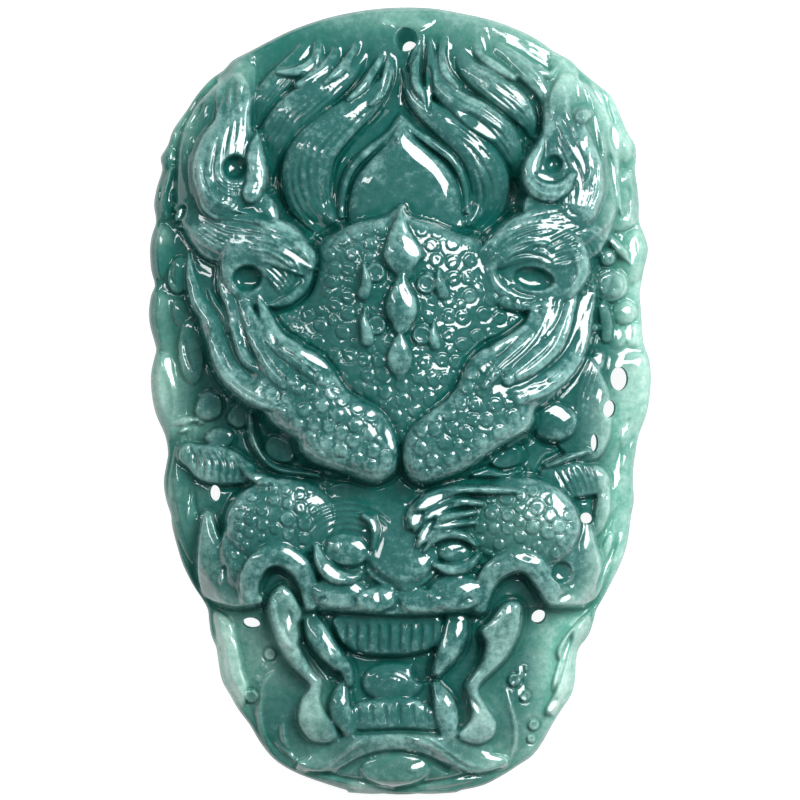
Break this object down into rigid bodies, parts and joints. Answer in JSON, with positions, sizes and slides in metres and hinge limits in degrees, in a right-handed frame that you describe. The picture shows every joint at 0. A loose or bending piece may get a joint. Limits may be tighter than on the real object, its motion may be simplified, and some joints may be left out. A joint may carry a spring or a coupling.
{
  "type": "carved jade pendant",
  "caption": "Oval jade pendant carved in high relief as a traditional guardian-beast mask, with a flat back and a drilled hanging hole at the top.",
  "frame": {"origin": "centre of the plaque's outline, on the flat back that it lies on", "axes": "+Z out of the carved face, +Y up the face towards the hanging hole, +X to the right of the face"},
  "size_m": [0.0401, 0.0628, 0.0148],
  "materials": {
    "jade": "polished translucent blue-green jade with fine cloudy flecks and paler thin edges"
  },
  "bodies": {
    "root": {"carved_pendant": "jade"}
  },
  "joints": []
}
